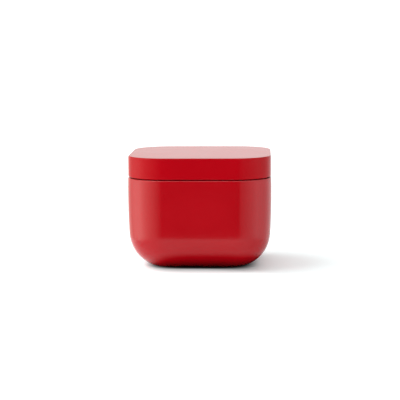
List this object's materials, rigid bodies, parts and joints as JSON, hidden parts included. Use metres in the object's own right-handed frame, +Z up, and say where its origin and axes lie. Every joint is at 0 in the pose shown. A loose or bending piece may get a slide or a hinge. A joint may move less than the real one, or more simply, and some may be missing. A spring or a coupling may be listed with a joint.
{
  "type": "ink pad",
  "caption": "Rounded-square desk ink pad: a weighted pot with a lift-off lid over a lift-out cartridge that holds an inked cloth pad.",
  "frame": {"origin": "on the surface it stands on, under the middle of the foot", "axes": "+Z up, the way the lid lifts; +X to the right and -Y towards the viewer, both square to the straight sides"},
  "size_m": [0.06, 0.06, 0.0476],
  "materials": {
    "shell_red": "satin, very fine texture",
    "foot_rubber": "matte",
    "ballast_steel": "mill finish",
    "screw_steel": "zinc plated",
    "tray_red": "fine moulded",
    "ink_felt": "wool felt soaked in ink",
    "ink_foam": "open-cell foam soaked in ink",
    "ink_cloth": "woven cotton soaked in ink",
    "frame_red": "fine moulded",
    "liner_white": "natural polypropylene",
    "seal_silicone": "translucent silicone"
  },
  "bodies": {
    "body": {"body_shell": "shell_red", "foot_pad": "foot_rubber", "ballast_plate": "ballast_steel", "ballast_screws": "screw_steel"},
    "cartridge": {"ink_tray": "tray_red", "reservoir_felt": "ink_felt", "ink_sponge": "ink_foam", "pad_cloth": "ink_cloth", "pad_frame": "frame_red"},
    "lid": {"lid_shell": "shell_red", "lid_liner": "liner_white", "lid_gasket": "seal_silicone"}
  },
  "joints": [
    {"name": "cartridge_lift", "type": "slide", "parent": "body", "child": "cartridge", "axis": [0, 0, 1], "range_m": [0, 0.03]},
    {"name": "lid_lift", "type": "slide", "parent": "cartridge", "child": "lid", "axis": [0, 0, 1], "range_m": [0, 0.035]}
  ]
}
